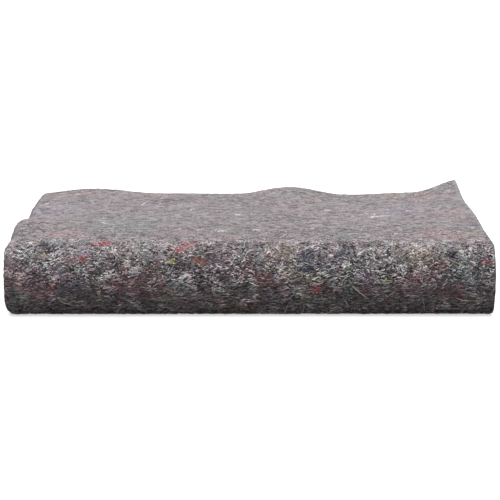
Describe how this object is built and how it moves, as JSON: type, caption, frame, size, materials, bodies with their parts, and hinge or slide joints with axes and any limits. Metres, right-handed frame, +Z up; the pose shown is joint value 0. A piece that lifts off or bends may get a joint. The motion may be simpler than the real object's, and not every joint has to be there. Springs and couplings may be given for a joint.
{
  "type": "folded moving blanket",
  "caption": "Grey needled-felt moving blanket folded into a flat stack of its own layers, with a round front fold and cut edges at the back and right.",
  "frame": {"origin": "middle of the stack's footprint, on the surface it lies on", "axes": "+X along the stack's width, from the folded end to the cut end, +Y from the front fold to the back edge, +Z up"},
  "size_m": [0.5076, 0.3344, 0.09],
  "materials": {
    "felt": "matt grey recycled-fibre needled felt with dark, pale and coloured flecks"
  },
  "bodies": {
    "root": {"blanket": "felt"}
  },
  "joints": []
}
